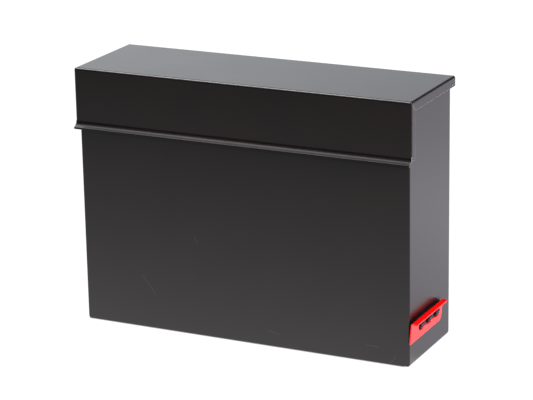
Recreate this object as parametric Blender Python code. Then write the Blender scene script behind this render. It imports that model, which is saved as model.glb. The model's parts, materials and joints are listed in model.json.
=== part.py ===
"""Wall-mounted drop box for letters and small parcels, folded from powder-coated sheet steel.

A one-piece body wraps the front and the two sides, a back panel carries the lid's hinge rod,
the lid has a deep front apron with a flared pull lip, and the box is emptied through a door
in its floor.  A three-dial combination latch with a red lever sits low on the right side.

Frame: metres, +X to the right, +Y to the rear, +Z up.  The origin is on the underside of the
bottom front flange, halfway across the box, so Z = 0 is the surface the box stands on.
"""
import math

import bmesh
import bpy

# ---------------------------------------------------------------- driving dimensions
SHEET = 0.001                 # gauge of every folded steel piece
GAP = 0.0003                  # air left between pieces that touch

BODY_WIDTH = 0.403
BODY_DEPTH = 0.1163
LID_WIDTH = 0.4104
TOTAL_HEIGHT = 0.2993
FLANGE = 0.016                # width of the inward flange round the floor opening
SIDE_TOP = 0.2955             # upper edge of the side walls
FRONT_WALL_TOP = 0.262        # upper edge of the front wall, hidden by the apron

FRONT = -FLANGE / 2           # outer face of the front wall
REAR = FRONT + BODY_DEPTH     # outer face of the rear return flanges
HALF_BODY = BODY_WIDTH / 2
HALF_LID = LID_WIDTH / 2

FOLD_RADIUS = 0.0016          # outside radius of a sharp fold
FRONT_FOLD_RADIUS = 0.0013    # folds between the front wall and the side walls
LID_FOLD_RADIUS = 0.0024      # folds round the top of the lid
SIDE_FOOT_RADIUS = 0.0032     # fold between a side wall and its bottom flange
REAR_FOOT_RADIUS = 0.006      # rounded lower rear corner of a side wall
RETURN_FLANGE = 0.013         # rear return flange of a side wall

APRON_FRONT = FRONT - 0.0031  # outer face of the lid's apron
LID_REAR = REAR + 0.0047
SKIRT_BOTTOM = 0.2881         # lower edge of the lid's side skirts
APRON_EAR_REAR = FRONT + 0.0064   # rear edge of the apron's side ears
APRON_EAR_BOTTOM = 0.2344
LIP_START = 0.2384            # where the apron starts to curve outwards
LIP_LEAD = 0.0004             # straight run before the curve
LIP_RADIUS = 0.0066
LIP_ANGLE = math.radians(60)
LIP_STRAIGHT = 0.0023
HEM_RADIUS = 0.00085          # centre-line radius of the folded-back lip edge
HEM_RETURN = 0.0030

LID_AXIS_Z = 0.2919
HINGE_ROD_RADIUS = 0.0015
HINGE_HOLE_RADIUS = 0.0018
KNUCKLE_RADIUS = 0.0024       # centre-line radius of the rolled hinge tube
SKIRT_CUT = 0.0015            # bevel on the lower rear corner of a skirt

PANEL_REAR = REAR - SHEET - GAP        # outer face of the back panel
PANEL_MIDDLE = PANEL_REAR - SHEET / 2
LID_AXIS_Y = PANEL_MIDDLE - KNUCKLE_RADIUS
PANEL_HALF = HALF_BODY - SHEET - 0.0005

WALL_HOLE_X = 0.150
WALL_HOLE_HEIGHTS = (0.060, 0.240)
WALL_HOLE_RADIUS = 0.0035
SPACER_RADIUS = 0.010
SPACER_REAR = REAR + 0.009

RIVET_X = HALF_BODY - RETURN_FLANGE / 2 - 0.0005
RIVET_HEIGHTS = (0.040, 0.150, 0.262)
RIVET_SHANK = 0.0015
RIVET_HEAD = 0.0030

DOOR_GAP = 0.001
DOOR_BOTTOM = 0.0012
DOOR_KNUCKLE = 0.0019         # centre-line radius of the door's rolled edge
DOOR_ROD_RADIUS = 0.00125
DOOR_AXIS_Y = REAR - 0.0180
DOOR_AXIS_Z = DOOR_BOTTOM + DOOR_KNUCKLE + SHEET / 2
DOOR_HALF = HALF_BODY - FLANGE - DOOR_GAP
REAR_FLANGE_EDGE = DOOR_AXIS_Y + DOOR_KNUCKLE + SHEET / 2 + 0.0008
LUG_THICKNESS = 0.0015
LUG_HALF = 0.006              # half the length of a hinge lug
LUG_HEIGHT = 0.0068
LUG_FOOT = 0.0012             # thickness of its foot

LEVER_AXIS_X = HALF_BODY - 0.0045
LEVER_AXIS_Z = 0.0249
LEVER_TILT = math.radians(5.0)
LEVER_SHEET = 0.0013
LEVER_FOOT_Z = 0.0270
LEVER_FOOT_X = HALF_BODY + 0.0017      # outer face of the plate at its foot
LEVER_TOP = 0.0517
LEVER_FLANGE_TIP = HALF_BODY + 0.0103
LEVER_FRONT = FRONT - 0.0025
LEVER_REAR = FRONT + 0.0875
LEVER_CORNER = 0.0062
LEVER_TIP_CORNER = 0.0050
LEVER_EAR_HALF = 0.00075
LEVER_EAR_PLACES = (FRONT + 0.0120, FRONT + 0.0392, FRONT + 0.0840)
LEVER_BOSS = 0.0029
LEVER_EAR_LOW = LEVER_AXIS_Z + 0.0042   # the ears join the plate between these heights
LEVER_EAR_HIGH = LEVER_AXIS_Z + 0.0098
EAR_CLEARANCE = 0.0007
LEVER_PIN_RADIUS = 0.00125

DIAL_RADIUS = 0.0057
DIAL_HALF = 0.0049                     # half its length
DIAL_AXIS_X = HALF_BODY - 0.0012
DIAL_AXIS_Z = 0.0412
DIAL_PLACES = (FRONT + 0.0280, FRONT + 0.0504, FRONT + 0.0727)
DIAL_TEETH = 10
DIAL_GROOVE = 0.0007                   # depth of the grooves between the digits' faces
DIAL_FACE_TURN = 0.34                  # half a digit's face, as a share of one tenth of a turn
DIAL_BORE = 0.0016
DIAL_CLEARANCE = 0.0008                # air round a dial
AXLE_RADIUS = 0.0012

SLOT_FRONT = FRONT + 0.0192            # slot in the lever's plate round the dials
SLOT_REAR = FRONT + 0.0795
SLOT_BOTTOM = 0.0369
SLOT_TOP = 0.0478
SLOT_NOTCH = 0.0350                    # the slot reaches down to here below each dial
SLOT_NOTCH_HALF = DIAL_HALF + 0.0008

AXLE_FRONT = SLOT_FRONT + 0.0016
AXLE_REAR = SLOT_REAR - 0.0009
WEB_PAST_AXLE = 0.0006                 # the end webs reach this far past the axle
WEB_FACE = HALF_BODY + 0.0016          # face of the housing between the dials
WEB_BOTTOM = DIAL_AXIS_Z - 0.0034
WEB_TOP = DIAL_AXIS_Z + 0.0059
WEB_TO_DIAL = 0.0006
CASE_BACK = 0.1845                     # inner face of the housing
CASE_FRONT = FRONT + 0.0145
CASE_REAR = FRONT + 0.0820
CASE_BOTTOM = LEVER_AXIS_Z + 0.0055
CASE_TOP = 0.0560
CASE_ROUNDING = 0.002
PIVOT_LUG_HALF = 0.0015

BOLT_HALF = (0.0040, 0.0020)           # half size along Y and Z
BOLT_Z = LEVER_AXIS_Z + 0.0085
BOLT_Y = LEVER_EAR_PLACES[1]
BOLT_TIP = 0.1724
BOLT_END = 0.1925
KEEPER_X = 0.1705                      # inner face of the keeper

BUMPER_X = 0.150
BUMPER_Z = 0.248


# ---------------------------------------------------------------- small modelling helpers
def clear_scene():
    for obj in list(bpy.data.objects):
        bpy.data.objects.remove(obj, do_unlink=True)


def make_material(name, colour, roughness, metallic):
    material = bpy.data.materials.new(name)
    material.use_nodes = True
    shader = material.node_tree.nodes["Principled BSDF"]
    shader.inputs["Base Color"].default_value = (*colour, 1.0)
    shader.inputs["Roughness"].default_value = roughness
    shader.inputs["Metallic"].default_value = metallic
    return material


def object_from(name, form):
    """Turn a bmesh into a linked object, faces pointing outwards."""
    bmesh.ops.recalc_face_normals(form, faces=form.faces)
    mesh = bpy.data.meshes.new(name)
    form.to_mesh(mesh)
    form.free()
    obj = bpy.data.objects.new(name, mesh)
    bpy.context.scene.collection.objects.link(obj)
    return obj


def finish(obj, material, smooth_below=35):
    """Give a piece its material, and smooth shading across its curved faces only."""
    obj.data.materials.clear()
    obj.data.materials.append(material)
    obj.data.shade_smooth()
    obj.data.set_sharp_from_angle(angle=math.radians(smooth_below))
    return obj


def block(name, low, high):
    form = bmesh.new()
    bmesh.ops.create_cube(form, size=1.0)
    for vertex in form.verts:
        vertex.co = [lo + (part + 0.5) * (hi - lo) for part, lo, hi in zip(vertex.co, low, high)]
    return object_from(name, form)


def folded_block(name, low, high, folds, segments=4):
    """A block with some edges rounded.

    folds maps a pair of sides, such as ("-y", "+z"), to the radius of the edge they share.
    """
    obj = block(name, low, high)
    mesh = obj.data
    widest = max(folds.values())
    weights = mesh.attributes.new("bevel_weight_edge", "FLOAT", "EDGE")
    limits = {"-x": (0, low[0]), "+x": (0, high[0]), "-y": (1, low[1]), "+y": (1, high[1]),
              "-z": (2, low[2]), "+z": (2, high[2])}
    for edge in mesh.edges:
        ends = [mesh.vertices[index].co for index in edge.vertices]
        for sides, radius in folds.items():
            on_both = all(abs(end[limits[side][0]] - limits[side][1]) < 1e-6
                          for side in sides for end in ends)
            if on_both:
                weights.data[edge.index].value = radius / widest
    bevel = obj.modifiers.new("folds", "BEVEL")
    bevel.limit_method = "WEIGHT"
    bevel.width = widest
    bevel.segments = segments
    bake(obj)
    return obj


def bake(obj):
    """Replace an object's mesh with what its modifiers make of it."""
    depsgraph = bpy.context.evaluated_depsgraph_get()
    baked = bpy.data.meshes.new_from_object(obj.evaluated_get(depsgraph))
    obj.modifiers.clear()
    obj.data = baked
    obj.data.name = obj.name


def combine(obj, tool, operation):
    """Boolean a tool into an object and remove the tool."""
    modifier = obj.modifiers.new(operation.lower(), "BOOLEAN")
    modifier.operation = operation
    modifier.solver = "EXACT"
    modifier.object = tool
    bake(obj)
    bpy.data.objects.remove(tool, do_unlink=True)
    return obj


def cut(obj, *tools):
    for tool in tools:
        combine(obj, tool, "DIFFERENCE")
    return obj


def fuse(obj, *tools):
    for tool in tools:
        combine(obj, tool, "UNION")
    return obj


def drill(obj, *drills):
    """Cut several holes that are clear of each other in one pass."""
    joined = bmesh.new()
    for tool in drills:
        joined.from_mesh(tool.data)
        bpy.data.objects.remove(tool, do_unlink=True)
    return cut(obj, object_from("drills", joined))


def prism(name, outline, axis, start, end):
    """Extrude a closed outline along an axis.

    The outline's two numbers are the other two axes in X, Y, Z order.
    """
    form = bmesh.new()

    def point(pair, along):
        values = list(pair)
        values.insert(axis, along)
        return values

    base = form.faces.new([form.verts.new(point(pair, start)) for pair in outline])
    moved = bmesh.ops.extrude_face_region(form, geom=[base])["geom"]
    for vertex in moved:
        if isinstance(vertex, bmesh.types.BMVert):
            vertex.co[axis] = end
    return object_from(name, form)


def arc(centre, radius, start, end, steps):
    return [(centre[0] + radius * math.cos(start + (end - start) * i / steps),
             centre[1] + radius * math.sin(start + (end - start) * i / steps))
            for i in range(steps + 1)]


def round_outline(centre, radius, steps=24):
    return arc(centre, radius, 0.0, math.tau, steps)[:-1]


def rod(name, axis, centre, radius, start, end, steps=24):
    return prism(name, round_outline(centre, radius, steps), axis, start, end)


def ring(name, axis, centre, outer, inner, start, end, steps=32):
    tube = rod(name, axis, centre, outer, start, end, steps)
    return cut(tube, rod("bore", axis, centre, inner, start - 0.001, end + 0.001, steps))


def rounded_path(corners, radius, steps=4):
    """An open line through corners whose inner corners are arcs of one radius."""
    path = [corners[0]]
    for before, corner, after in zip(corners, corners[1:], corners[2:]):
        back = (before[0] - corner[0], before[1] - corner[1])
        ahead = (after[0] - corner[0], after[1] - corner[1])
        back_size = math.hypot(*back)
        ahead_size = math.hypot(*ahead)
        back = (back[0] / back_size, back[1] / back_size)
        ahead = (ahead[0] / ahead_size, ahead[1] / ahead_size)
        half = math.acos(back[0] * ahead[0] + back[1] * ahead[1]) / 2
        reach = radius / math.tan(half)
        middle = (back[0] + ahead[0], back[1] + ahead[1])
        size = math.hypot(*middle)
        depth = radius / math.sin(half)
        centre = (corner[0] + middle[0] / size * depth, corner[1] + middle[1] / size * depth)
        first = (corner[0] + back[0] * reach, corner[1] + back[1] * reach)
        last = (corner[0] + ahead[0] * reach, corner[1] + ahead[1] * reach)
        start = math.atan2(first[1] - centre[1], first[0] - centre[0])
        turn = math.atan2(last[1] - centre[1], last[0] - centre[0]) - start
        turn = (turn + math.pi) % math.tau - math.pi
        path += arc(centre, radius, start, start + turn, steps)
    return path + [corners[-1]]


def sheet_outline(path, thickness):
    """The closed outline of a sheet of even thickness bent along a centre line."""
    left = []
    right = []
    for index, point in enumerate(path):
        before = path[max(index - 1, 0)]
        after = path[min(index + 1, len(path) - 1)]
        arriving = direction(before, point) or direction(point, after)
        leaving = direction(point, after) or arriving
        normal = (-(arriving[1] + leaving[1]), arriving[0] + leaving[0])
        size = math.hypot(*normal)
        normal = (normal[0] / size, normal[1] / size)
        spread = thickness / 2 / (normal[0] * -leaving[1] + normal[1] * leaving[0])
        left.append((point[0] + normal[0] * spread, point[1] + normal[1] * spread))
        right.append((point[0] - normal[0] * spread, point[1] - normal[1] * spread))
    return left + right[::-1]


def direction(start, end):
    step = (end[0] - start[0], end[1] - start[1])
    size = math.hypot(*step)
    return (step[0] / size, step[1] / size) if size > 1e-9 else None


# ---------------------------------------------------------------- body
def body_shell(paint):
    """Front wall, side walls, bottom flanges and rear return flanges, folded from one blank."""
    folds = {
        ("-x", "-y"): FRONT_FOLD_RADIUS,
        ("+x", "-y"): FRONT_FOLD_RADIUS,
        ("-x", "+y"): FOLD_RADIUS,
        ("+x", "+y"): FOLD_RADIUS,
        ("-y", "-z"): FOLD_RADIUS,
        ("-x", "-z"): SIDE_FOOT_RADIUS,
        ("+x", "-z"): SIDE_FOOT_RADIUS,
        ("+y", "-z"): REAR_FOOT_RADIUS,
    }
    shell = folded_block("body_shell", (-HALF_BODY, FRONT, 0), (HALF_BODY, REAR, SIDE_TOP), folds)
    inner_folds = {sides: max(radius - SHEET, 0.0004) for sides, radius in folds.items()}
    hollow = folded_block(
        "hollow",
        (-HALF_BODY + SHEET, FRONT + SHEET, SHEET),
        (HALF_BODY - SHEET, REAR - SHEET, SIDE_TOP + 0.05),
        inner_folds,
    )
    opening = HALF_BODY - FLANGE
    panel_opening = HALF_BODY - RETURN_FLANGE
    return_top = LID_AXIS_Z - 0.0080
    cut(
        shell,
        hollow,
        block("floor_opening", (-opening, FRONT + FLANGE, -0.01), (opening, REAR + 0.01, 0.01)),
        block("rear_opening", (-panel_opening, REAR - 0.003, -0.01), (panel_opening, REAR + 0.01, 0.4)),
        block("front_step", (-HALF_BODY + 0.0022, FRONT - 0.01, FRONT_WALL_TOP),
              (HALF_BODY - 0.0022, FRONT + 0.004, 0.4)),
    )
    for side in (-1, 1):
        edges = sorted((side * (HALF_BODY - RETURN_FLANGE - 0.001), side * (HALF_BODY - SHEET - 0.0004)))
        cut(
            shell,
            block("return_flange_top", (edges[0], REAR - 0.0025, return_top), (edges[1], REAR + 0.01, 0.4)),
            block("foot_relief", (edges[0], REAR - 0.0074, -0.01), (edges[1], REAR + 0.01, 0.0074)),
        )
    corner = rounded_path(
        [(FRONT + SHEET / 2, FRONT_WALL_TOP - 0.010), (FRONT + SHEET / 2, FRONT_WALL_TOP - SHEET / 2),
         (FRONT + 0.008, FRONT_WALL_TOP - SHEET / 2)],
        FOLD_RADIUS - SHEET / 2,
    )
    inner = HALF_BODY - 0.004
    window = DIAL_RADIUS + DIAL_CLEARANCE
    fuse(shell, prism("front_hem", sheet_outline(corner, SHEET), 0, -inner, inner))
    cut(
        shell,
        rod("hinge_hole", 0, (LID_AXIS_Y, LID_AXIS_Z), HINGE_HOLE_RADIUS, -0.3, 0.3, 22),
        block("dial_window", (HALF_BODY - 0.003, SLOT_FRONT - 0.0005, DIAL_AXIS_Z - window),
              (HALF_BODY + 0.003, SLOT_REAR + 0.0005, DIAL_AXIS_Z + window)),
    )
    for place in LEVER_EAR_PLACES:
        cut(shell, block("ear_slot", (HALF_BODY - 0.003, place - 0.0013, LEVER_EAR_LOW - 2 * EAR_CLEARANCE),
                         (HALF_BODY + 0.003, place + 0.0013, LEVER_EAR_HIGH + EAR_CLEARANCE)))
    drill(shell, *rivet_drills())
    return finish(shell, paint)


def rivet_drills():
    return [rod("rivet_hole", 1, (side * RIVET_X, height), RIVET_SHANK + GAP, REAR - 0.005, REAR + 0.003, 16)
            for side in (-1, 1) for height in RIVET_HEIGHTS]


def back_panel(paint):
    """Back wall with its rolled hinge tube at the top and a short flange at the bottom."""
    path = rounded_path(
        [(REAR_FLANGE_EDGE, SHEET / 2), (PANEL_MIDDLE, SHEET / 2), (PANEL_MIDDLE, LID_AXIS_Z)],
        REAR_FOOT_RADIUS - 0.002,
        steps=6,
    )
    path += arc((LID_AXIS_Y, LID_AXIS_Z), KNUCKLE_RADIUS, 0, math.radians(298), 20)[1:]
    panel = prism("back_panel", sheet_outline(path, SHEET), 0, -PANEL_HALF, PANEL_HALF)
    for side in (-1, 1):
        edges = sorted((side * (HALF_BODY - FLANGE - 0.0004), side * HALF_BODY))
        cut(panel, block("foot_notch", (edges[0], FRONT, -0.01), (edges[1], REAR + 0.01, 0.0076)))
    wall_drills = [rod("wall_hole", 1, (side * WALL_HOLE_X, height), WALL_HOLE_RADIUS,
                       REAR - 0.005, REAR + 0.003)
                   for side in (-1, 1) for height in WALL_HOLE_HEIGHTS]
    drill(panel, *wall_drills, *rivet_drills())
    return finish(panel, paint)


def turned(name, profile, axis_point, along, steps=24):
    """Turn a profile of (radius, distance along Y) about a line parallel to Y.

    The profile starts and ends on the axis.
    """
    form = bmesh.new()
    rings = []
    for radius, distance in profile:
        y = along[0] + along[1] * distance
        if radius == 0:
            rings.append([form.verts.new((axis_point[0], y, axis_point[1]))])
        else:
            rings.append([form.verts.new((x, y, z)) for x, z in round_outline(axis_point, radius, steps)])
    for first, second in zip(rings, rings[1:]):
        for i in range(steps):
            j = (i + 1) % steps
            corners = [first[i % len(first)], first[j % len(first)],
                       second[j % len(second)], second[i % len(second)]]
            form.faces.new(list(dict.fromkeys(corners)))
    return object_from(name, form)


def panel_rivets(steel):
    """Blind rivets that join the back panel to the body's return flanges."""
    head_base = GAP
    grip = 2 * SHEET + GAP
    tail = grip + GAP
    profile = [(0, -head_base - 0.0011), (RIVET_HEAD * 0.55, -head_base - 0.0010),
               (RIVET_HEAD * 0.9, -head_base - 0.0005), (RIVET_HEAD, -head_base),
               (RIVET_SHANK, -head_base), (RIVET_SHANK, tail), (RIVET_SHANK * 1.5, tail),
               (RIVET_SHANK * 1.5, tail + 0.0010), (RIVET_SHANK * 0.9, tail + 0.0014), (0, tail + 0.0014)]
    for side, word in ((-1, "left"), (1, "right")):
        for number, height in enumerate(RIVET_HEIGHTS, 1):
            rivet = turned(f"panel_rivet_{word}_{number}", profile, (side * RIVET_X, height),
                           (REAR, -1), steps=16)
            finish(rivet, steel)


def wall_spacers(rubber):
    """Ring-shaped standoffs that keep the lid's rear edge clear of the wall."""
    for side, word in ((-1, "left"), (1, "right")):
        for height, level in zip(WALL_HOLE_HEIGHTS, ("lower", "upper")):
            spacer = ring(f"wall_spacer_{word}_{level}", 1, (side * WALL_HOLE_X, height), SPACER_RADIUS,
                          WALL_HOLE_RADIUS, PANEL_REAR + GAP, SPACER_REAR, 40)
            finish(spacer, rubber)


def lid_bumpers(rubber):
    """Rubber dots on the front wall that the apron closes against."""
    for side, word in ((-1, "left"), (1, "right")):
        bumper = rod(f"lid_bumper_{word}", 1, (side * BUMPER_X, BUMPER_Z), 0.004,
                     APRON_FRONT + SHEET + GAP, FRONT - GAP, 28)
        finish(bumper, rubber)


# ---------------------------------------------------------------- lid
def lid_shell(paint):
    """Top, front apron with flared and hemmed pull lip, side skirts and apron ears."""
    folds = {
        ("-y", "+z"): LID_FOLD_RADIUS,
        ("-x", "+z"): LID_FOLD_RADIUS,
        ("+x", "+z"): LID_FOLD_RADIUS,
        ("-x", "-y"): FOLD_RADIUS,
        ("+x", "-y"): FOLD_RADIUS,
    }
    lid = folded_block("lid_shell", (-HALF_LID, APRON_FRONT, APRON_EAR_BOTTOM),
                       (HALF_LID, LID_REAR, TOTAL_HEIGHT), folds)
    hollow = folded_block(
        "hollow",
        (-HALF_LID + SHEET, APRON_FRONT + SHEET, APRON_EAR_BOTTOM - 0.01),
        (HALF_LID - SHEET, LID_REAR + 0.01, TOTAL_HEIGHT - SHEET),
        {sides: radius - SHEET for sides, radius in folds.items()},
    )
    cut(
        lid,
        hollow,
        block("below_skirts", (-0.3, APRON_EAR_REAR, 0.2), (0.3, LID_REAR + 0.01, SKIRT_BOTTOM)),
        block("below_apron", (-HALF_LID + FOLD_RADIUS, APRON_FRONT - 0.01, 0.2),
              (HALF_LID - FOLD_RADIUS, APRON_FRONT + 0.002, LIP_START)),
        block("below_ears", (-0.3, APRON_FRONT - 0.01, 0.2), (0.3, APRON_FRONT + 0.0018, LIP_START)),
    )
    seam_start = (APRON_FRONT + 0.0020, TOTAL_HEIGHT - LID_FOLD_RADIUS - 0.0003)
    seam_end = (APRON_EAR_REAR + 0.0004, SKIRT_BOTTOM - 0.0004)
    seam = sheet_outline([seam_start, seam_end], GAP)
    rear_corner = [(LID_REAR - SKIRT_CUT, SKIRT_BOTTOM - 0.001), (LID_REAR + 0.001, SKIRT_BOTTOM - 0.001),
                   (LID_REAR + 0.001, SKIRT_BOTTOM + SKIRT_CUT)]
    for side in (-1, 1):
        start, end = sorted((side * (HALF_LID - SHEET * 1.6), side * (HALF_LID + 0.001)))
        cut(lid, prism("seam", seam, 0, start, end))
        start, end = sorted((side * (HALF_LID - 0.004), side * (HALF_LID + 0.001)))
        cut(lid, prism("skirt_corner", rear_corner, 0, start, end))
    middle = APRON_FRONT + SHEET / 2
    centre = (middle - LIP_RADIUS, LIP_START - LIP_LEAD)
    path = [(middle, LIP_START)] + arc(centre, LIP_RADIUS, 0, -LIP_ANGLE, 8)
    heading = (-math.sin(LIP_ANGLE), -math.cos(LIP_ANGLE))
    tip = (path[-1][0] + heading[0] * LIP_STRAIGHT, path[-1][1] + heading[1] * LIP_STRAIGHT)
    inward = (-heading[1], heading[0])
    turn_centre = (tip[0] + inward[0] * HEM_RADIUS, tip[1] + inward[1] * HEM_RADIUS)
    angle = math.atan2(-inward[1], -inward[0])
    hem = arc(turn_centre, HEM_RADIUS, angle, angle + math.pi, 8)
    back = (hem[-1][0] - heading[0] * HEM_RETURN, hem[-1][1] - heading[1] * HEM_RETURN)
    fuse(lid, prism("lip", sheet_outline(path + hem + [back], SHEET), 0, -HALF_LID + 0.0002,
                    HALF_LID - 0.0002))
    cut(lid, rod("hinge_hole", 0, (LID_AXIS_Y, LID_AXIS_Z), HINGE_HOLE_RADIUS, -0.3, 0.3))
    return finish(lid, paint)


def lid_hinge(steel, nylon):
    """The hinge rod through the rolled tube, and the washers between side walls and skirts."""
    end = HALF_LID - 0.0002
    finish(rod("lid_hinge_rod", 0, (LID_AXIS_Y, LID_AXIS_Z), HINGE_ROD_RADIUS, -end, end), steel)
    for side, word in ((-1, "left"), (1, "right")):
        start, stop = sorted((side * (HALF_BODY + GAP), side * (HALF_LID - SHEET - GAP)))
        finish(ring(f"lid_hinge_washer_{word}", 0, (LID_AXIS_Y, LID_AXIS_Z), 0.0031,
                    HINGE_HOLE_RADIUS, start, stop, 28), nylon)


# ---------------------------------------------------------------- floor door
def bottom_door(paint):
    """The emptying door in the floor, with its rear edge rolled round the hinge rod."""
    level = DOOR_BOTTOM + SHEET / 2
    front_edge = FRONT + FLANGE + DOOR_GAP
    path = [(front_edge, level), (DOOR_AXIS_Y, level)]
    path += arc((DOOR_AXIS_Y, DOOR_AXIS_Z), DOOR_KNUCKLE, math.radians(-90), math.radians(195), 18)[1:]
    door = prism("bottom_door", sheet_outline(path, SHEET), 0, -DOOR_HALF, DOOR_HALF)
    turned_up = sheet_outline(
        rounded_path([(front_edge + SHEET / 2, DOOR_BOTTOM + 0.0085), (front_edge + SHEET / 2, level),
                      (front_edge + 0.010, level)], 0.0011),
        SHEET,
    )
    corner = block("front_edge", (-0.3, front_edge - 0.001, DOOR_BOTTOM - 0.001),
                   (0.3, front_edge + 0.004, DOOR_BOTTOM + SHEET + 0.001))
    cut(door, corner)
    fuse(door, prism("front_fold", turned_up, 0, -DOOR_HALF, DOOR_HALF))
    return finish(door, paint)


def door_keeper(steel):
    """An upright bracket on the door that the latch bolt enters."""
    foot_z = DOOR_BOTTOM + SHEET + GAP
    path = rounded_path(
        [(KEEPER_X - 0.010, foot_z + 0.00075), (KEEPER_X + 0.00075, foot_z + 0.00075),
         (KEEPER_X + 0.00075, BOLT_Z + 0.0075)],
        0.0014,
    )
    keeper = prism("door_keeper", sheet_outline(path, 0.0015), 1, BOLT_Y - 0.0080, BOLT_Y + 0.0080)
    cut(keeper, block("bolt_hole", (KEEPER_X - 0.003, BOLT_Y - BOLT_HALF[0] - 0.0006,
                                    BOLT_Z - BOLT_HALF[1] - 0.0007),
                      (KEEPER_X + 0.004, BOLT_Y + BOLT_HALF[0] + 0.0006, BOLT_Z + BOLT_HALF[1] + 0.0007)))
    return finish(keeper, steel)


def door_hinge(steel):
    """The door's hinge rod and the two lugs that hold it on the bottom flanges."""
    end = DOOR_HALF + 0.0042
    finish(rod("door_hinge_rod", 0, (DOOR_AXIS_Y, DOOR_AXIS_Z), DOOR_ROD_RADIUS, -end, end, 20), steel)
    for side, word in ((-1, "left"), (1, "right")):
        near = DOOR_HALF + 0.0014
        base = SHEET + GAP
        start, stop = sorted((side * near, side * (near + LUG_THICKNESS)))
        lug = block(f"door_hinge_lug_{word}", (start, DOOR_AXIS_Y - LUG_HALF, base),
                    (stop, DOOR_AXIS_Y + LUG_HALF, base + LUG_HEIGHT))
        start, stop = sorted((side * (near + 0.0005), side * (near + 0.0105)))
        fuse(lug, block("foot", (start, DOOR_AXIS_Y - LUG_HALF, base),
                        (stop, DOOR_AXIS_Y + LUG_HALF, base + LUG_FOOT)))
        cut(lug, rod("lug_hole", 0, (DOOR_AXIS_Y, DOOR_AXIS_Z), DOOR_ROD_RADIUS + GAP, -0.3, 0.3, 20))
        finish(lug, steel)


# ---------------------------------------------------------------- combination latch
def lever_face_x(height):
    """The outer face of the tilted lever plate at a height."""
    return LEVER_FOOT_X + (height - LEVER_FOOT_Z) * math.tan(LEVER_TILT)


def latch_lever(red):
    """The red lever: a tilted plate with a finger flange, a dial slot and three pivot ears."""
    inner = LEVER_SHEET / 2
    top = LEVER_TOP - inner
    path = rounded_path(
        [(lever_face_x(LEVER_FOOT_Z) - inner, LEVER_FOOT_Z), (lever_face_x(top) - inner, top),
         (LEVER_FLANGE_TIP, top)],
        0.0011,
    )
    lever = prism("latch_lever", sheet_outline(path, LEVER_SHEET), 1, LEVER_FRONT, LEVER_REAR)
    radius = LEVER_CORNER
    foot_corner = [(LEVER_REAR + 0.001, LEVER_FOOT_Z - 0.001), (LEVER_REAR - radius, LEVER_FOOT_Z - 0.001)]
    foot_corner += arc((LEVER_REAR - radius, LEVER_FOOT_Z + radius), radius, math.radians(-90), 0, 8)
    foot_corner.append((LEVER_REAR + 0.001, LEVER_FOOT_Z + radius))
    cut(lever, prism("foot_corner", foot_corner, 0, HALF_BODY - 0.002, HALF_BODY + 0.006))
    radius = LEVER_TIP_CORNER
    tip_corner = [(LEVER_FLANGE_TIP + 0.001, LEVER_REAR + 0.001),
                  (LEVER_FLANGE_TIP + 0.001, LEVER_REAR - radius)]
    tip_corner += arc((LEVER_FLANGE_TIP - radius, LEVER_REAR - radius), radius, 0, math.radians(90), 8)
    tip_corner.append((LEVER_FLANGE_TIP - radius, LEVER_REAR + 0.001))
    cut(lever, prism("tip_corner", tip_corner, 2, LEVER_TOP - 0.003, LEVER_TOP + 0.003))
    slot = folded_block("dial_slot", (HALF_BODY - 0.002, SLOT_FRONT, SLOT_BOTTOM),
                        (HALF_BODY + 0.008, SLOT_REAR, SLOT_TOP),
                        {("-y", "-z"): 0.0015, ("+y", "-z"): 0.0008}, 3)
    notches = [folded_block("dial_notch", (HALF_BODY - 0.002, place - SLOT_NOTCH_HALF, SLOT_NOTCH),
                            (HALF_BODY + 0.008, place + SLOT_NOTCH_HALF, SLOT_BOTTOM + 0.002),
                            {("-y", "-z"): 0.0013, ("+y", "-z"): 0.0013}, 3)
               for place in DIAL_PLACES]
    cut(lever, slot, *notches)
    for place in LEVER_EAR_PLACES:
        outline = [(LEVER_AXIS_X + 0.0026, LEVER_AXIS_Z), (LEVER_AXIS_X + 0.0026, LEVER_EAR_LOW),
                   (lever_face_x(LEVER_EAR_LOW) - inner, LEVER_EAR_LOW),
                   (lever_face_x(LEVER_EAR_HIGH) - inner, LEVER_EAR_HIGH),
                   (LEVER_AXIS_X - 0.0020, LEVER_EAR_HIGH), (LEVER_AXIS_X - 0.0020, LEVER_AXIS_Z)]
        ear = prism("ear", outline, 1, place - LEVER_EAR_HALF, place + LEVER_EAR_HALF)
        fuse(ear, rod("boss", 1, (LEVER_AXIS_X, LEVER_AXIS_Z), LEVER_BOSS,
                      place - LEVER_EAR_HALF, place + LEVER_EAR_HALF))
        cut(ear, rod("boss_hole", 1, (LEVER_AXIS_X, LEVER_AXIS_Z), LEVER_PIN_RADIUS + GAP,
                     place - 0.002, place + 0.002, 20))
        fuse(lever, ear)
    return finish(lever, red)


def latch_pin(steel):
    finish(rod("latch_lever_pin", 1, (LEVER_AXIS_X, LEVER_AXIS_Z), LEVER_PIN_RADIUS,
               LEVER_EAR_PLACES[0] - 0.0025, LEVER_EAR_PLACES[2] + 0.0025, 20), steel)


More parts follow.
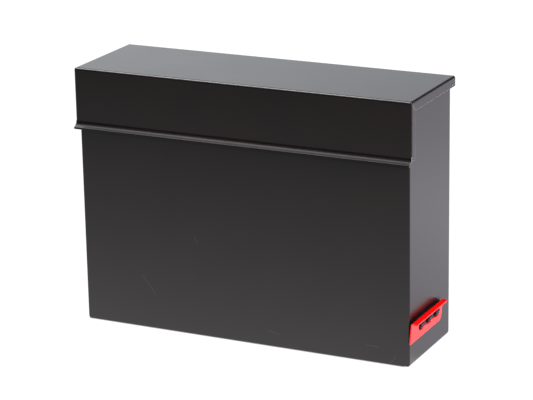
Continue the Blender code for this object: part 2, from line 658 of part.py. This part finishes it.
def latch_case(plastic):
    """Moulded housing behind the right wall: dial pockets, bolt guide and pivot lugs."""
    inside = HALF_BODY - SHEET - GAP
    corners = {("-x", side): CASE_ROUNDING for side in ("-y", "+y", "+z", "-z")}
    case = folded_block("latch_case", (CASE_BACK, CASE_FRONT, CASE_BOTTOM), (inside, CASE_REAR, CASE_TOP),
                        corners, 3)
    for place in (CASE_FRONT + PIVOT_LUG_HALF, CASE_REAR - PIVOT_LUG_HALF):
        lug = block("pivot_lug", (LEVER_AXIS_X - 0.0040, place - PIVOT_LUG_HALF, LEVER_AXIS_Z - 0.0032),
                    (LEVER_AXIS_X + 0.0028, place + PIVOT_LUG_HALF, CASE_BOTTOM + 0.001))
        fuse(case, lug)
    for place in DIAL_PLACES:
        cut(case, rod("dial_pocket", 1, (DIAL_AXIS_X, DIAL_AXIS_Z), DIAL_RADIUS + DIAL_CLEARANCE,
                      place - DIAL_HALF - 0.0005, place + DIAL_HALF + 0.0005, 32))
    clear = DIAL_HALF + WEB_TO_DIAL
    starts = [AXLE_FRONT - WEB_PAST_AXLE] + [place + clear for place in DIAL_PLACES]
    stops = [place - clear for place in DIAL_PLACES] + [AXLE_REAR + WEB_PAST_AXLE]
    for start, stop in zip(starts, stops):
        fuse(case, block("fascia_web", (inside - 0.002, start, WEB_BOTTOM), (WEB_FACE, stop, WEB_TOP)))
    cut(
        case,
        rod("axle_hole", 1, (DIAL_AXIS_X, DIAL_AXIS_Z), AXLE_RADIUS + GAP,
            CASE_FRONT - 0.01, CASE_REAR + 0.01, 20),
        rod("pin_hole", 1, (LEVER_AXIS_X, LEVER_AXIS_Z), LEVER_PIN_RADIUS + GAP,
            CASE_FRONT - 0.01, CASE_REAR + 0.01, 20),
        block("ear_pocket", (LEVER_AXIS_X - 0.0050, BOLT_Y - 0.0013, CASE_BOTTOM - 0.001),
              (inside + 0.003, BOLT_Y + 0.0013, LEVER_EAR_HIGH + 0.0016)),
        block("bolt_guide", (CASE_BACK - 0.001, BOLT_Y - BOLT_HALF[0] - GAP, BOLT_Z - BOLT_HALF[1] - GAP),
              (inside - 0.0010, BOLT_Y + BOLT_HALF[0] + GAP, BOLT_Z + BOLT_HALF[1] + GAP)),
    )
    return finish(case, plastic)


def latch_dials(plastic, steel):
    """Three toothed number dials and the axle they turn on."""
    for number, place in enumerate(DIAL_PLACES, 1):
        outline = []
        for tooth in range(DIAL_TEETH):
            for offset, radius in ((-DIAL_FACE_TURN, DIAL_RADIUS), (0.0, DIAL_RADIUS),
                                   (DIAL_FACE_TURN, DIAL_RADIUS), (0.5, DIAL_RADIUS - DIAL_GROOVE)):
                angle = math.tau * (tooth + offset) / DIAL_TEETH
                outline.append((radius * math.cos(angle), radius * math.sin(angle)))
        dial = prism(f"latch_dial_{number}", outline, 1, -DIAL_HALF, DIAL_HALF)
        cut(dial, rod("bore", 1, (0, 0), DIAL_BORE, -0.01, 0.01, 20))
        dial.location = (DIAL_AXIS_X, place, DIAL_AXIS_Z)
        finish(dial, plastic)
    finish(rod("latch_dial_axle", 1, (DIAL_AXIS_X, DIAL_AXIS_Z), AXLE_RADIUS,
               AXLE_FRONT, AXLE_REAR, 20), steel)


def latch_bolt(steel):
    half_y, half_z = BOLT_HALF
    bolt = folded_block("latch_bolt", (BOLT_TIP, BOLT_Y - half_y, BOLT_Z - half_z),
                        (BOLT_END, BOLT_Y + half_y, BOLT_Z + half_z),
                        {("-x", "-z"): 0.0007, ("-x", "+z"): 0.0007}, 2)
    return finish(bolt, steel)


# ---------------------------------------------------------------- assembly
def main():
    clear_scene()
    paint = make_material("powder_coat", (0.022, 0.020, 0.021), 0.42, 0.0)
    red = make_material("red_paint", (0.85, 0.01, 0.008), 0.35, 0.0)
    plastic = make_material("black_plastic", (0.012, 0.012, 0.013), 0.3, 0.0)
    steel = make_material("zinc_steel", (0.45, 0.45, 0.46), 0.35, 1.0)
    dark_steel = make_material("dark_steel", (0.03, 0.03, 0.032), 0.4, 1.0)
    rubber = make_material("rubber", (0.02, 0.02, 0.02), 0.8, 0.0)
    nylon = make_material("nylon", (0.05, 0.05, 0.05), 0.5, 0.0)

    body_shell(paint)
    back_panel(paint)
    panel_rivets(steel)
    wall_spacers(rubber)
    lid_bumpers(rubber)
    lid_shell(paint)
    lid_hinge(dark_steel, nylon)
    bottom_door(paint)
    door_keeper(steel)
    door_hinge(steel)
    latch_lever(red)
    latch_pin(steel)
    latch_case(plastic)
    latch_dials(plastic, steel)
    latch_bolt(steel)


main()
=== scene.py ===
"""Studio scene of the wall-mounted parcel drop box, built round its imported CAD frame."""
import json
import math

import bmesh
import bpy
from mathutils import Matrix, Vector

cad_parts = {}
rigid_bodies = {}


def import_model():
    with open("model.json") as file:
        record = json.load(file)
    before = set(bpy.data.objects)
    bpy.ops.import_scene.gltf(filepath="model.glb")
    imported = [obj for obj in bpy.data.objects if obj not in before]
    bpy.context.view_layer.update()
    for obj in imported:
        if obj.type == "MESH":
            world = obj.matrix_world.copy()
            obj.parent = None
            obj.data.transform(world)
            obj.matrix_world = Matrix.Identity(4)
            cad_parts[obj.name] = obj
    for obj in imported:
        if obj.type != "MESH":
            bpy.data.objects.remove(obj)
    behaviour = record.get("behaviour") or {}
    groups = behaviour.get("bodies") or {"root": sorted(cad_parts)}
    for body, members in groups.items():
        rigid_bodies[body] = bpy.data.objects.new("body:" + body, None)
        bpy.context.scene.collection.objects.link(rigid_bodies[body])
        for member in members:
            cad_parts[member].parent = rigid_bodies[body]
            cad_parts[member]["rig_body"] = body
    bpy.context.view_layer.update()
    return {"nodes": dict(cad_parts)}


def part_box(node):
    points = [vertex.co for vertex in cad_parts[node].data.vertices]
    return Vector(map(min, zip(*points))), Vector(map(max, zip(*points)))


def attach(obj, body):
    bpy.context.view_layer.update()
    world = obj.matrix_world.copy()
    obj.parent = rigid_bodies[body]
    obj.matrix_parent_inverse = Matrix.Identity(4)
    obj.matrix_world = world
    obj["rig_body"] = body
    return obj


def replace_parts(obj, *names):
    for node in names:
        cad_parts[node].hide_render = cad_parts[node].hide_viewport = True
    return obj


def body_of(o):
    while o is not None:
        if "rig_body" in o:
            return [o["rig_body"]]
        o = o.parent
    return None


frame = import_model()

# ---------------------------------------------------------------- camera and light
CAMERA_PLACE = (1.08424, -2.14368, 0.9062)
CAMERA_TURN = math.radians(26.2366)        # about the vertical, away from straight on
CAMERA_DROP = math.radians(17.1632)        # looking down
CAMERA_ROLL = math.radians(-1.0604)
CAMERA_LENS = 153.298
SENSOR = 36.0

# name: place, size and power of each softbox; both face SOFTBOX_AIM
SOFTBOXES = {
    "softbox_above": ((-0.75, -0.12, 1.85), (1.4, 0.9), 46.0),
    "softbox_right": ((1.55, -0.35, 1.15), (0.9, 0.9), 66.0),
}
SOFTBOX_AIM = (0.0, 0.05, 0.15)

# The camera sees floor and backdrop plain white, from everywhere.  What the box reflects of them
# has the brightness below: metres from the origin for the floor, directions for the backdrop.
WHITE = 1.06
FLOOR_NEAR = 1.40                          # brightness of the floor at the foot of the front wall
FLOOR_FALL = 0.67                          # metres over which it fades towards the viewer
FLOOR_REAR = 0.96                          # brightness of the floor behind the front wall
FLOOR_SWELL = 0.32                         # how much brighter that is at its brightest
SWELL_PLACE = 0.55                         # Y of the brightest part
SWELL_WIDTH = 0.28
FLOOR_TINT = (0.985, 0.970, 1.06, 1)       # of the floor behind and beside the box
FLOOR_REACH = 6.0                          # half the width of the floor
FLOOR_LEVEL = -0.0002
CONTACT_REACH = 0.004                      # width of the contact shadow painted on the floor
WALL_GLOW = 1.40                           # brightness of the backdrop low down at the rear
ROOM_DARK = 0.03                           # and of the rest of the room
FRONT_GLOW = 0.25                          # brightness of the room high up behind the viewer
REAR_TINT = (0.925, 0.965, 1.01, 1)
PLAIN = (1, 1, 1, 1)

# ---------------------------------------------------------------- coat and fittings
SKIRT_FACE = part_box("lid_shell")[1][0]     # X of the lid skirt's outer face
BODY_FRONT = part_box("body_shell")[0][1]    # Y of the front wall's outer face
LIP_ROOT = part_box("lid_shell")[0][1] + 0.0049   # Y where the apron starts to curve out
LIP_SHINE = 0.27                           # shine of the pull lip, as a share of the coat's: painted shade, a weaker reflection there
RECESS_SHADE_REACH = 0.009                       # how far the painted shade of a recess, a weaker reflection of the coat, reaches beside it
EDGE_TURNS = (0.985, 0.86)                 # cosines of a rounded edge's turn: no wear, full wear
FLAT_EDGE_WEAR = 0.02                      # wear of edges inside the skirts' faces, against theirs
COAT_SHINE = 0.5
IOR = 1.5

DIAL_AROUND = 160                          # vertices round a dial
DIAL_BORE = 0.0016
DIAL_GROOVE = 0.0007                       # depth of the grooves between the digits' faces
DIAL_FACE = 0.68                           # share of a digit's tenth of a turn that is round
DIAL_DIP = 0.32                            # and the share that its groove takes
DIGIT_SIZE = 0.0034
DIGIT_LIFT = 0.00001                       # thickness of the paint
PIN_AROUND = 48
PIN_WALL = 0.00035                         # wall of the hinge pin beside the bores in its ends
PIN_BORE = 0.006                           # depth of those bores


# ---------------------------------------------------------------- node helpers
class Nodes:
    """A short way to add and join the nodes of one node tree."""

    def __init__(self, tree):
        self.tree = tree
        tree.nodes.clear()

    def add(self, kind, settings=None, **inputs):
        node = self.tree.nodes.new(kind)
        for name, value in (settings or {}).items():
            setattr(node, name, value)
        for name, value in inputs.items():
            self.feed(node.inputs[name.replace("_", " ")], value)
        return node

    def feed(self, socket, value):
        if isinstance(value, bpy.types.NodeSocket):
            self.tree.links.new(value, socket)
        else:
            socket.default_value = value

    def math(self, operation, *values, clamp=False):
        node = self.tree.nodes.new("ShaderNodeMath")
        node.operation = operation
        node.use_clamp = clamp
        for socket, value in zip(node.inputs, values):
            self.feed(socket, value)
        return node.outputs[0]

    def ramp(self, value, low, high, start=0.0, end=1.0):
        """start where value is low, end where it is high, with a smooth passage between."""
        node = self.tree.nodes.new("ShaderNodeMapRange")
        node.interpolation_type = "SMOOTHSTEP"
        for name, number in (("From Min", low), ("From Max", high), ("To Min", start), ("To Max", end)):
            self.feed(node.inputs[name], number)
        self.feed(node.inputs["Value"], value)
        return node.outputs[0]

    def blend(self, factor, first, second):
        """Mix two numbers or two colours."""
        colour = not isinstance(first, float) and not isinstance(second, float)
        node = self.tree.nodes.new("ShaderNodeMix")
        node.data_type = "RGBA" if colour else "FLOAT"
        at = (6, 7, 2) if colour else (2, 3, 0)
        self.feed(node.inputs[0], factor)
        self.feed(node.inputs[at[0]], first)
        self.feed(node.inputs[at[1]], second)
        return node.outputs[at[2]]

    def product(self, *values):
        total = values[0]
        for value in values[1:]:
            total = self.math("MULTIPLY", total, value)
        return total

    def noise(self, vector, scale, detail=2.0, roughness=0.5):
        return self.add("ShaderNodeTexNoise", Vector=vector, Scale=scale, Detail=detail,
                        Roughness=roughness).outputs[0]

    def place(self):
        """The point being shaded, in metres in the piece's own frame."""
        return self.add("ShaderNodeTexCoord").outputs["Object"]

    def axes(self, vector):
        return self.add("ShaderNodeSeparateXYZ", Vector=vector).outputs


def new_object(name, data):
    """An object round data, in the scene."""
    item = bpy.data.objects.new(name, data)
    bpy.context.scene.collection.objects.link(item)
    return item


def new_material(name):
    material = bpy.data.materials.new(name)
    material.use_nodes = True
    return material, Nodes(material.node_tree)


def close_material(nodes, shader):
    out = nodes.add("ShaderNodeOutputMaterial")
    nodes.feed(out.inputs["Surface"], shader)


# ---------------------------------------------------------------- materials
def edge_mask(nodes, radius):
    """1 on sharp edges, 0 on flat faces, and a normal that runs round the edges."""
    rounded = nodes.add("ShaderNodeBevel", {"samples": 6}, Radius=radius).outputs[0]
    flat = nodes.add("ShaderNodeNewGeometry").outputs["Normal"]
    dot = nodes.add("ShaderNodeVectorMath", {"operation": "DOT_PRODUCT"})
    nodes.feed(dot.inputs[0], rounded)
    nodes.feed(dot.inputs[1], flat)
    return nodes.ramp(dot.outputs["Value"], *EDGE_TURNS), rounded


def shade(colour, factor):
    """A colour with an alpha of 1, made lighter or darker."""
    return (*[min(part * factor, 1.0) for part in colour], 1)


# fine scratches low on the front wall: (X, Z) of each one's two ends, in metres
SCRATCHES = (
    ((-0.1279, 0.0622), (-0.1130, 0.0440)), ((-0.1130, 0.0440), (-0.1118, 0.0398)),
    ((0.1785, 0.0020), (0.1825, 0.0050)), ((0.1825, 0.0050), (0.1845, 0.0098)),
    ((0.0310, 0.0180), (0.0440, 0.0150)), ((0.1500, 0.0190), (0.1650, 0.0182)),
    ((-0.0600, 0.1180), (-0.0555, 0.1090)),
)
SCRATCH_HALF = 0.00055
SCRATCH_STRENGTH = 0.18
SCRATCH_COLOUR = (0.2, 0.2, 0.2, 1)


def scratch_mask(nodes, place):
    """1 along the scratches on the front wall, fading to 0 beside them."""
    x, y, z = nodes.axes(place)
    flat = nodes.add("ShaderNodeCombineXYZ", X=x, Z=z).outputs[0]
    front = nodes.math("LESS_THAN", y, BODY_FRONT + 0.0005)
    total = 0.0
    for start, end in SCRATCHES:
        start = Vector((start[0], 0.0, start[1]))
        run = Vector((end[0], 0.0, end[1])) - start
        offset = nodes.add("ShaderNodeVectorMath", {"operation": "SUBTRACT"})
        nodes.feed(offset.inputs[0], flat)
        nodes.feed(offset.inputs[1], start)
        along = nodes.add("ShaderNodeVectorMath", {"operation": "DOT_PRODUCT"})
        nodes.feed(along.inputs[0], offset.outputs[0])
        nodes.feed(along.inputs[1], run / run.length_squared)
        share = nodes.math("MULTIPLY", along.outputs["Value"], 1.0, clamp=True)
        back = nodes.add("ShaderNodeVectorMath", {"operation": "SCALE"})
        nodes.feed(back.inputs[0], run)
        nodes.feed(back.inputs["Scale"], share)
        away = nodes.add("ShaderNodeVectorMath", {"operation": "DISTANCE"})
        nodes.feed(away.inputs[0], offset.outputs[0])
        nodes.feed(away.inputs[1], back.outputs[0])
        total = nodes.math("MAXIMUM", total, nodes.ramp(away.outputs["Value"], SCRATCH_HALF, 0.0))
    return nodes.product(total, front)


def recess_mask(nodes, place):
    """Painted shade on the coat's reflection: 1 in the open, 0 deep between folds and fittings but not along
    the floor, less on the lip.
    """
    sky = nodes.add("ShaderNodeAmbientOcclusion", {"samples": 8}, Distance=RECESS_SHADE_REACH)
    y, z = nodes.axes(place)[1:]
    clear = nodes.math("MAXIMUM", nodes.ramp(sky.outputs["AO"], 0.45, 0.95), nodes.ramp(z, 0.022, 0.012))
    return nodes.product(clear, nodes.ramp(y, LIP_ROOT - 0.0004, LIP_ROOT, LIP_SHINE, 1.0))


def powder_coat(name, colour, worn, roughness, edge, peel=1.0, walls=False):
    """Baked powder paint: fine orange peel, faint mottling, edges rubbed lighter.

    walls is for the box itself: scratches on the front, and painted shade, less shine in the recesses and on
    the lip.
    """
    material, n = new_material(name)
    place = n.place()
    edges, rounded = edge_mask(n, edge)
    cloud = n.noise(place, 14.0, 3.0)
    fine = n.noise(place, 900.0, 2.0)
    mottled = n.blend(n.ramp(cloud, 0.35, 0.65), shade(colour, 0.86), shade(colour, 1.14))
    patches = n.ramp(n.noise(place, 160.0, 3.0), 0.30, 0.60)
    across = n.math("ABSOLUTE", n.axes(place)[0])
    outer = n.ramp(across, SKIRT_FACE - 0.0012, SKIRT_FACE - 0.0006, FLAT_EDGE_WEAR, 1.0)
    base = n.blend(n.product(edges, patches, outer), mottled, (*worn, 1))
    if walls:
        base = n.blend(n.product(scratch_mask(n, place), SCRATCH_STRENGTH), base, SCRATCH_COLOUR)
    rough = n.math("ADD", roughness - 0.03, n.math("MULTIPLY", cloud, 0.03))
    rough = n.math("ADD", rough, n.math("MULTIPLY", fine, 0.03))
    bump = n.add("ShaderNodeBump", Strength=0.35 * peel, Distance=0.00003, Height=fine, Normal=rounded)
    waves = n.add("ShaderNodeBump", Strength=0.5 * peel, Distance=0.00006,
                  Height=n.noise(place, 330.0, 2.0), Normal=bump.outputs[0])
    shader = n.add("ShaderNodeBsdfPrincipled", Base_Color=base, Roughness=rough, IOR=IOR,
                   Normal=waves.outputs[0])
    if walls:
        # painted shade: the coat's reflection is turned down in recesses and on the pull lip
        n.feed(shader.inputs["Specular IOR Level"], n.product(recess_mask(n, place), COAT_SHINE))
    close_material(n, shader.outputs[0])
    return material


def moulded_plastic(name, colour, roughness, edge=0.0002):
    """Fine-grained black plastic, or a thin coat of paint on it."""
    material, n = new_material(name)
    edges, rounded = edge_mask(n, edge)
    grain = n.noise(n.place(), 1500.0, 2.0)
    base = n.blend(edges, (*colour, 1), shade(colour, 2.0))
    rough = n.math("ADD", roughness, n.math("MULTIPLY", grain, 0.08))
    bump = n.add("ShaderNodeBump", Strength=0.25, Distance=0.00003, Height=grain, Normal=rounded)
    shader = n.add("ShaderNodeBsdfPrincipled", Base_Color=base, Roughness=rough, IOR=IOR,
                   Normal=bump.outputs[0])
    close_material(n, shader.outputs[0])
    return material


def plated_steel(name, colour, roughness, edge=0.0002):
    """Zinc-plated steel with a faint drawn grain and dull patches."""
    material, n = new_material(name)
    place = n.place()
    rounded = edge_mask(n, edge)[1]
    patches = n.noise(place, 220.0, 4.0, 0.6)
    scale = n.add("ShaderNodeMapping", Vector=place, Scale=(60.0, 2500.0, 2500.0))
    grain = n.noise(scale.outputs[0], 1.0, 2.0)
    base = n.blend(n.ramp(patches, 0.3, 0.7), shade(colour, 0.78), (*colour, 1))
    rough = n.math("ADD", roughness, n.math("MULTIPLY", patches, 0.16))
    bump = n.add("ShaderNodeBump", Strength=0.2, Distance=0.00002, Height=grain, Normal=rounded)
    shader = n.add("ShaderNodeBsdfPrincipled", Base_Color=base, Roughness=rough, Metallic=1.0,
                   Normal=bump.outputs[0])
    close_material(n, shader.outputs[0])
    return material


def soft_rubber(name, colour):
    """Matt rubber with a little dust on it."""
    material, n = new_material(name)
    place = n.place()
    grain = n.noise(place, 1100.0, 3.0)
    dust = n.ramp(n.noise(place, 90.0, 3.0), 0.5, 0.8)
    base = n.blend(dust, (*colour, 1), shade(colour, 1.8))
    bump = n.add("ShaderNodeBump", Strength=0.4, Distance=0.00004, Height=grain)
    shader = n.add("ShaderNodeBsdfPrincipled", Base_Color=base, Roughness=0.72, Normal=bump.outputs[0])
    close_material(n, shader.outputs[0])
    return material


def finish_materials():
    return {
        "powder_coat": powder_coat("box_powder_coat", (0.0056, 0.0028, 0.0030), (0.42, 0.41, 0.42),
                                   roughness=0.25, edge=0.0008, walls=True),
        "red_paint": powder_coat("lever_red_coat", (0.86, 0.001, 0.001), (0.95, 0.03, 0.03),
                                 roughness=0.22, edge=0.0006, peel=0.6),
        "case_plastic": moulded_plastic("case_plastic_black", (0.004, 0.004, 0.0042), 0.34),
        "dial_plastic": moulded_plastic("dial_plastic_black", (0.004, 0.004, 0.0042), 0.40),
        "digit_paint": moulded_plastic("dial_digit_paint", (0.10, 0.10, 0.105), 0.5, 0.00005),
        "rod_steel": plated_steel("rod_dark_steel", (0.012, 0.012, 0.013), 0.36),
        "zinc_steel": plated_steel("zinc_plated_steel", (0.55, 0.55, 0.57), 0.24),
        "rivet_steel": plated_steel("rivet_steel_bright", (0.50, 0.50, 0.52), 0.22),
        "rubber": soft_rubber("rubber_black", (0.012, 0.012, 0.012)),
        "nylon": moulded_plastic("nylon_black", (0.02, 0.02, 0.02), 0.45),
    }


# the material of each CAD node, by how the node's name starts; the first that fits counts
SLOT_BY_START = (
    ("body_shell", "powder_coat"), ("back_panel", "powder_coat"), ("lid_shell", "powder_coat"),
    ("bottom_door", "powder_coat"), ("latch_lever_pin", "rod_steel"), ("latch_lever", "red_paint"),
    ("latch_case", "case_plastic"), ("latch_dial_axle", "rod_steel"), ("latch_dial", "dial_plastic"),
    ("lid_hinge_rod", "rod_steel"), ("door_hinge_rod", "rod_steel"), ("panel_rivet", "rivet_steel"),
    ("wall_spacer", "rubber"), ("lid_bumper", "rubber"), ("lid_hinge_washer", "nylon"),
    ("", "zinc_steel"),
)


def slot_of(name):
    return next(slot for start, slot in SLOT_BY_START if name.startswith(start))


# ---------------------------------------------------------------- surroundings
def studio_world():
    """White to the camera; to the box, a bright backdrop low at the rear left of a dark room."""
    world = bpy.data.worlds.new("studio")
    bpy.context.scene.world = world
    world.use_nodes = True
    n = Nodes(world.node_tree)
    x, y, z = n.axes(n.add("ShaderNodeTexCoord").outputs["Generated"])
    rear = n.ramp(y, -0.5, -0.05)
    low = n.ramp(z, 0.44, 0.31)
    fade = n.product(n.ramp(x, -0.30, -0.50, 0.72, 1.0), n.ramp(x, 0.05, -0.30, 0.08, 1.0))
    glow = n.product(n.product(rear, low), n.product(fade, WALL_GLOW - ROOM_DARK))
    ahead = n.product(n.ramp(y, -0.15, -0.5), n.ramp(z, 0.30, 0.50, 0.0, FRONT_GLOW))
    glow = n.math("ADD", glow, ahead)
    seen = n.add("ShaderNodeLightPath").outputs["Is Camera Ray"]
    level = n.blend(seen, n.math("ADD", glow, ROOM_DARK), WHITE)
    tint = n.blend(seen, REAR_TINT, PLAIN)
    back = n.add("ShaderNodeBackground", Color=tint, Strength=level)
    out = n.add("ShaderNodeOutputWorld")
    n.feed(out.inputs["Surface"], back.outputs[0])


def studio_floor():
    """A plain white floor that glows, white to the camera, with its brightness to the box painted by place
    and a thin painted contact shadow.
    """
    corners = [(x * FLOOR_REACH, y * FLOOR_REACH, 0) for x, y in ((-1, -1), (1, -1), (1, 1), (-1, 1))]
    mesh = bpy.data.meshes.new("floor")
    mesh.from_pydata(corners, [], [(0, 1, 2, 3)])
    floor = new_object("floor", mesh)
    floor.location.z = FLOOR_LEVEL
    material, n = new_material("floor_white")
    x, y = n.axes(n.place())[:2]
    ahead = n.math("EXPONENT", n.math("DIVIDE", n.math("MINIMUM", y, 0.0), FLOOR_FALL))
    swell = n.math("DIVIDE", n.math("SUBTRACT", y, SWELL_PLACE), SWELL_WIDTH)
    swell = n.math("EXPONENT", n.product(swell, swell, -1.0))
    behind = n.math("ADD", FLOOR_REAR, n.product(swell, FLOOR_SWELL))
    level = n.blend(n.ramp(y, 0.0, 0.04), n.product(ahead, FLOOR_NEAR), behind)
    seen = n.add("ShaderNodeLightPath").outputs["Is Camera Ray"]
    level = n.blend(seen, level, WHITE)
    # painted contact shadow, from ambient occlusion: the glowing floor takes no real shadow
    contact = n.add("ShaderNodeAmbientOcclusion", {"samples": 12}, Distance=CONTACT_REACH)
    shadow = n.math("MAXIMUM", n.ramp(contact.outputs["AO"], 0.35, 0.75, 0.20, 1.0),
                    n.ramp(x, 0.190, 0.199))
    tint = n.blend(n.product(n.ramp(y, -0.1, 0.1), n.math("SUBTRACT", 1.0, seen)), PLAIN, FLOOR_TINT)
    emission = n.add("ShaderNodeEmission", Color=tint, Strength=n.product(level, shadow))
    close_material(n, emission.outputs[0])
    mesh.materials.append(material)


def softboxes():
    for name, (place, size, power) in SOFTBOXES.items():
        light = bpy.data.lights.new(name, "AREA")
        light.shape = "RECTANGLE"
        light.size, light.size_y = size
        light.energy = power
        lamp = new_object(name, light)
        lamp.location = place
        lamp.rotation_euler = (Vector(SOFTBOX_AIM) - lamp.location).to_track_quat("-Z", "Y").to_euler()


def studio_camera():
    data = bpy.data.cameras.new("camera")
    data.sensor_width = SENSOR
    data.lens = CAMERA_LENS
    camera = new_object("camera", data)
    turn = (Matrix.Rotation(CAMERA_TURN, 4, "Z") @ Matrix.Rotation(math.pi / 2 - CAMERA_DROP, 4, "X")
            @ Matrix.Rotation(CAMERA_ROLL, 4, "Z"))
    camera.matrix_world = Matrix.Translation(CAMERA_PLACE) @ turn
    bpy.context.scene.camera = camera


# ---------------------------------------------------------------- pieces
def toothed_radius(angle, radius):
    """The radius of a number dial at an angle: ten round faces with a groove between."""
    share = abs((angle / math.tau * 10 + 0.5) % 1.0 - 0.5) * 2
    depth = max(0.0, (share - DIAL_FACE) / DIAL_DIP)
    return radius - DIAL_GROOVE * math.sin(depth * math.pi / 2)


def middle_and_halves(node):
    """The middle of a CAD node's box, and half its size along Y and Z."""
    low, high = (Vector(corner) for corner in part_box(node))
    return (low + high) / 2, (high.y - low.y) / 2, (high.z - low.z) / 2


def fine_dial(node):
    """A number dial with eased rims, rounded grooves, a hub and ten painted digits."""
    centre, half, radius = middle_and_halves(node)
    stations = ((DIAL_BORE, 0.0), (DIAL_BORE + 0.0011, 0.0), (DIAL_BORE + 0.0013, 0.0004),
                (radius * 0.74, 0.0004), (radius * 0.78, 0.0), (radius * 0.93, 0.0),
                (radius * 0.985, 0.0002), (radius, 0.0006))
    profile = [(r, half - inset) for r, inset in stations]
    profile += [(r, -y) for r, y in reversed(profile)]
    form = bmesh.new()
    rings = []
    for r, y in profile:
        ring = []
        for step in range(DIAL_AROUND):
            angle = math.tau * step / DIAL_AROUND
            shape = toothed_radius(angle, radius) / radius if r > radius * 0.8 else 1.0
            ring.append(form.verts.new((centre.x + r * shape * math.cos(angle), centre.y + y,
                                        centre.z + r * shape * math.sin(angle))))
        rings.append(ring)
    for first, second in zip(rings, rings[1:] + rings[:1]):
        for i in range(DIAL_AROUND):
            j = (i + 1) % DIAL_AROUND
            form.faces.new((first[i], first[j], second[j], second[i]))
    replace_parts(add_piece(node + "_finished", form, "dial_plastic", node, 50), node)
    digits = painted_digits(node + "_digits", centre, radius + DIGIT_LIFT)
    digits.data.materials.append(materials["digit_paint"])
    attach(digits, body_of(frame["nodes"][node])[0])


def painted_digits(name, centre, radius):
    """0 to 9 wrapped round a dial, each upright where it faces outwards."""
    form = bmesh.new()
    for digit in range(10):
        curve = bpy.data.curves.new("digit", "FONT")
        curve.body = str(digit)
        curve.size = DIGIT_SIZE
        curve.align_x = "CENTER"
        curve.align_y = "CENTER"
        curve.resolution_u = 3
        text = new_object("digit", curve)
        bpy.context.view_layer.update()
        flat = bpy.data.meshes.new_from_object(text.evaluated_get(bpy.context.evaluated_depsgraph_get()))
        bpy.data.objects.remove(text, do_unlink=True)
        start = len(form.verts)
        form.from_mesh(flat)
        form.verts.ensure_lookup_table()
        for vertex in form.verts[start:]:
            across, up = vertex.co.x, vertex.co.y
            angle = math.tau * digit / 10 + up / radius
            vertex.co = (centre.x + radius * math.cos(angle), centre.y + across,
                         centre.z + radius * math.sin(angle))
        bpy.data.meshes.remove(flat)
    return mesh_object(name, form)


def mesh_object(name, form):
    """Turn a bmesh into an object, and free it."""
    mesh = bpy.data.meshes.new(name)
    form.to_mesh(mesh)
    form.free()
    return new_object(name, mesh)


def add_piece(name, form, slot, node, sharp):
    """Turn a bmesh into a piece that rides with a CAD node's body, smooth below sharp degrees."""
    bmesh.ops.recalc_face_normals(form, faces=form.faces)
    piece = mesh_object(name, form)
    piece.data.materials.append(materials[slot])
    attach(piece, body_of(frame["nodes"][node])[0])
    piece.data.shade_smooth()
    piece.data.set_sharp_from_angle(angle=math.radians(sharp))
    return piece


def hollow_pin(node):
    """The lid's hinge pin: a tube with chamfered ends and a deep bore at each end."""
    centre, _, radius = middle_and_halves(node)
    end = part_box(node)[1][0]
    profile = [(0.0, end - PIN_BORE), (radius - PIN_WALL, end - PIN_BORE), (radius - PIN_WALL, end - 0.0001),
               (radius - 0.0003, end), (radius - 0.0001, end), (radius, end - 0.0002)]
    profile += [(r, -x) for r, x in reversed(profile)]
    form = bmesh.new()
    rings = []
    for r, x in profile:
        angles = [math.tau * i / PIN_AROUND for i in range(PIN_AROUND if r else 1)]
        rings.append([form.verts.new((x, centre.y + r * math.cos(a), centre.z + r * math.sin(a)))
                      for a in angles])
    for first, second in zip(rings, rings[1:]):
        for i in range(PIN_AROUND):
            j = (i + 1) % PIN_AROUND
            corners = (first[i % len(first)], first[j % len(first)],
                       second[j % len(second)], second[i % len(second)])
            form.faces.new(list(dict.fromkeys(corners)))
    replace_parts(add_piece(node + "_finished", form, "rod_steel", node, 35), node)


def main():
    bpy.context.scene.view_settings.view_transform = "Standard"
    for name, obj in frame["nodes"].items():
        for slot in obj.material_slots:
            slot.material = materials[slot_of(name)]
    for number in (1, 2, 3):
        fine_dial(f"latch_dial_{number}")
    hollow_pin("lid_hinge_rod")
    studio_world()
    studio_floor()
    softboxes()
    studio_camera()


materials = finish_materials()
main()
